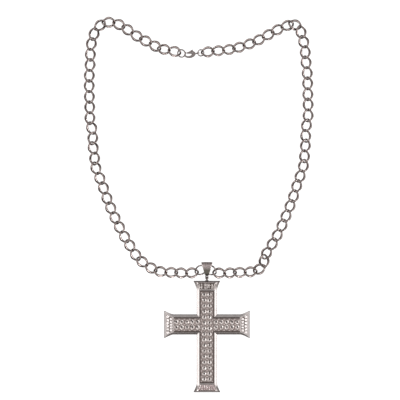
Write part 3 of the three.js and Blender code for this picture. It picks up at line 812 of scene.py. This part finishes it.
def strand(side, ring_joint, single_last):
    """One side of the chain, two links to a piece; single_last makes the last piece one link."""
    places = [JOINT_AT[name] for name in sorted(JOINT_AT) if name.startswith(f"link_{side}_")]
    places.append(JOINT_AT[ring_joint])
    for i, (start, end) in enumerate(zip(places, places[1:]), 1):
        node = f"chain_{side}_{i:02d}"
        shape = Shape()
        if single_last and i == len(places) - 1:
            add_link(shape, start, end, LINK_HALF - (end - start).length / 2)
        else:
            hold = hold_between(node, start, end)
            add_link(shape, hold, start, HOLD / 2)
            add_link(shape, hold, end, HOLD / 2)
        make(f"links_{side}_{i:02d}", shape, CHAIN, node, [node])


def chain():
    """The two links that hold the bail, then both strands."""
    shape = Shape()
    for side in ("left", "right"):
        first_bend = JOINT_AT[f"link_{side}_01_bend"]
        add_link(shape, IN_BAIL, first_bend, HOLD / 2, WIRE_IN_BAIL, 0.0)
    make("links_in_bail", shape, CHAIN, "chain_middle", ["chain_middle"])
    strand("left", "catch_ring_turn", False)
    strand("right", "clasp_ring_turn", True)


# ---- clasp --------------------------------------------------------------------------------------


def soften(node, voxel, rounds, material):
    """Rounds a CAD casting's edges, as tumbling does, without changing its own mesh."""
    piece = frame["nodes"][node]
    piece.data.materials.clear()
    piece.data.materials.append(material)
    remesh = piece.modifiers.new("skin", "REMESH")
    remesh.mode = "VOXEL"
    remesh.voxel_size = voxel * MM
    remesh.use_smooth_shade = True
    smooth = piece.modifiers.new("tumbled", "SMOOTH")
    smooth.factor = 0.5
    smooth.iterations = rounds


def clasp():
    """The clasp's castings, edges rounded, with its spring and rivet in bare steel."""
    soften("clasp_body", 0.12, 22, CLASP)
    soften("clasp_lever", 0.1, 14, CLASP)
    soften("clasp_spring", 0.05, 2, STEEL)
    soften("clasp_rivet", 0.08, 3, STEEL)


# ---- stage --------------------------------------------------------------------------------------

CENTRE = Vector((-6.2, 112.2, 0)) * MM
FRAME_WIDTH_M = 0.36
LENS = 110.0
SENSOR = 36.0


def floor():
    """A white table that shows dull grey in the metal's reflections."""
    material, nodes, links = node_tree("white_table")
    shader = nodes["Principled BSDF"]
    shader.inputs["Base Color"].default_value = (0.15, 0.15, 0.15, 1)
    shader.inputs["Roughness"].default_value = 0.9
    shader.inputs["Emission Color"].default_value = (1, 1, 1, 1)
    shader.inputs["Emission Strength"].default_value = 0.93
    dull = nodes.new("ShaderNodeBsdfDiffuse")
    dull.inputs["Color"].default_value = (0.15, 0.14, 0.135, 1)
    rays = nodes.new("ShaderNodeLightPath")
    mix = nodes.new("ShaderNodeMixShader")
    links.new(rays.outputs["Is Glossy Ray"], mix.inputs["Fac"])
    links.new(shader.outputs["BSDF"], mix.inputs[1])
    links.new(dull.outputs["BSDF"], mix.inputs[2])
    links.new(mix.outputs["Shader"], nodes["Material Output"].inputs["Surface"])
    mesh = bpy.data.meshes.new("table_top")
    half = 6.0
    mesh.from_pydata([(-half, -half, 0), (half, -half, 0), (half, half, 0), (-half, half, 0)], [],
                     [[0, 1, 2, 3]])
    mesh.materials.append(material)
    top = bpy.data.objects.new("table_top", mesh)
    scene.collection.objects.link(top)
    top.location.z = -0.00005


def world():
    """A studio: bright to both sides, grey behind and overhead, dark in front."""
    sky = bpy.data.worlds.new("studio")
    scene.world = sky
    sky.use_nodes = True
    nodes, links = sky.node_tree.nodes, sky.node_tree.links
    where = nodes.new("ShaderNodeTexCoord")
    split = nodes.new("ShaderNodeSeparateXYZ")
    links.new(where.outputs["Generated"], split.inputs["Vector"])

    def math_node(kind, *values):
        node = nodes.new("ShaderNodeMath")
        node.operation = kind
        for i, value in enumerate(values):
            if hasattr(value, "is_linked"):
                links.new(value, node.inputs[i])
            else:
                node.inputs[i].default_value = value
        return node.outputs[0]

    def remap(value, low, high, to_low, to_high):
        node = nodes.new("ShaderNodeMapRange")
        node.interpolation_type = "SMOOTHSTEP"
        links.new(value, node.inputs["Value"])
        for key, number in (("From Min", low), ("From Max", high), ("To Min", to_low),
                            ("To Max", to_high)):
            node.inputs[key].default_value = number
        return node.outputs["Result"]

    x, y, z = split.outputs["X"], split.outputs["Y"], split.outputs["Z"]
    sideways = remap(math_node("ABSOLUTE", x), 0.45, 0.8, 0.0, 1.55)
    front_back = remap(y, -0.6, 0.6, 0.07, 0.42)
    low_sky = math_node("ADD", sideways, front_back)
    high = remap(z, 0.45, 0.85, 0.0, 1.0)
    overhead = 0.72
    mixed = math_node("ADD", math_node("MULTIPLY", low_sky, math_node("SUBTRACT", 1.0, high)),
                      math_node("MULTIPLY", high, overhead))
    rays = nodes.new("ShaderNodeLightPath")
    shown = math_node("MAXIMUM", mixed, math_node("MULTIPLY", rays.outputs["Is Camera Ray"], 1.1))
    links.new(shown, nodes["Background"].inputs["Strength"])
    nodes["Background"].inputs["Color"].default_value = (1.0, 0.985, 0.98, 1)


def light(name, kind, energy, place, size, glossy):
    data = bpy.data.lights.new(name, kind)
    data.energy = energy
    if kind == "AREA":
        data.size = size
    else:
        data.angle = size
    lamp = bpy.data.objects.new(name, data)
    scene.collection.objects.link(lamp)
    lamp.location = place
    lamp.rotation_euler = (CENTRE - Vector(place)).to_track_quat("-Z", "Y").to_euler()
    lamp.visible_glossy = glossy


def lights():
    """Soft light from overhead and two small lamps that catch the facets."""
    light("overhead", "SUN", 2.2, (CENTRE.x, CENTRE.y, 2.0), 0.3, False)
    light("sparkle_right", "AREA", 5.0, (0.95, -0.5, 0.7), 0.25, True)
    light("sparkle_left", "AREA", 2.0, (-0.7, 0.5, 1.0), 0.2, True)


def camera():
    """Straight above the necklace."""
    data = bpy.data.cameras.new("camera")
    data.lens = LENS
    data.sensor_width = SENSOR
    data.clip_start, data.clip_end = 0.01, 20
    eye = bpy.data.objects.new("camera", data)
    scene.collection.objects.link(eye)
    eye.location = CENTRE + Vector((0, 0, FRAME_WIDTH_M * LENS / SENSOR + 0.003))
    scene.camera = eye


camera()
cross_body()
settings()
side_panel("left")
side_panel("right")
end_panel_top()
end_panel_bottom()
bail()
ring("jump_ring_wire", "jump_ring", "jump_ring", 2.2, 1.05, 0.95, LOOP, 0.75)
ring("catch_ring_wire", "catch_ring", "catch_ring", 3.42, 3.42, 1.08, CHAIN)
ring("clasp_ring_wire", "clasp_ring", "clasp_ring", 2.8, 2.8, 1.0, CHAIN)
chain()
clasp()
floor()
world()
lights()
scene.view_settings.view_transform = "Standard"
